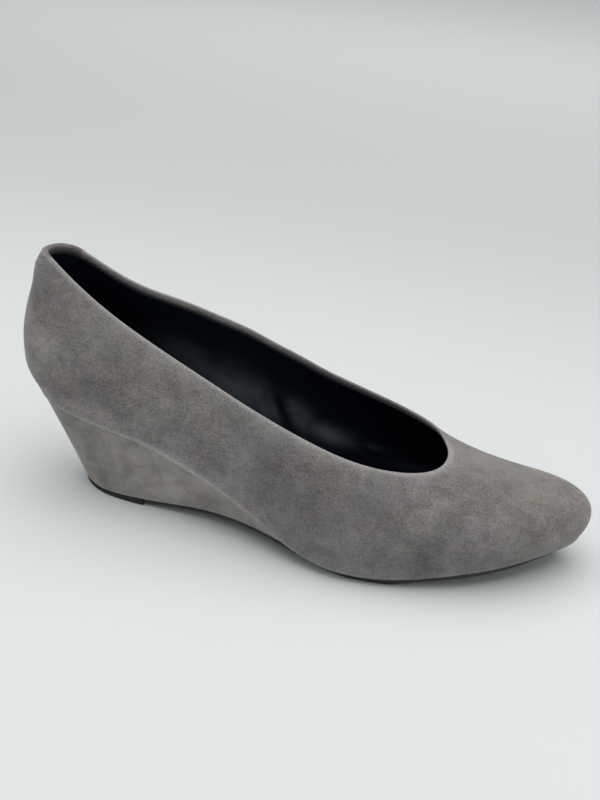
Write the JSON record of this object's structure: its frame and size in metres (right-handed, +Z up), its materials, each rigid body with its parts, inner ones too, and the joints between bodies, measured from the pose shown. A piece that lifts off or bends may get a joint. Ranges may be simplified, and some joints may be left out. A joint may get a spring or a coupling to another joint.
{
  "type": "wedge pump",
  "caption": "Right-foot wedge pump with an almond toe: suede upper open at the collar and throat, suede covered wedge, thin black sole and a rubber heel cap.",
  "frame": {"origin": "on the floor under the middle of the heel cap's resting face", "axes": "+X to the toe, +Y to the inner side of the foot, +Z up"},
  "size_m": [0.2521, 0.081, 0.1065],
  "materials": {
    "suede": "taupe grey suede, mottled nap, worn paler along edges",
    "sock": "smooth near-black navy lining leather, soft gloss",
    "wedge_suede": "greenish grey suede, brushed smoother than the upper",
    "sole": "thin black sole, satin edge",
    "cap": "matte black rubber"
  },
  "bodies": {
    "root": {"upper": "suede", "heel_tab": "suede", "insole": "sock", "wedge": "wedge_suede", "outsole": "sole", "heel_cap": "cap"}
  },
  "joints": []
}
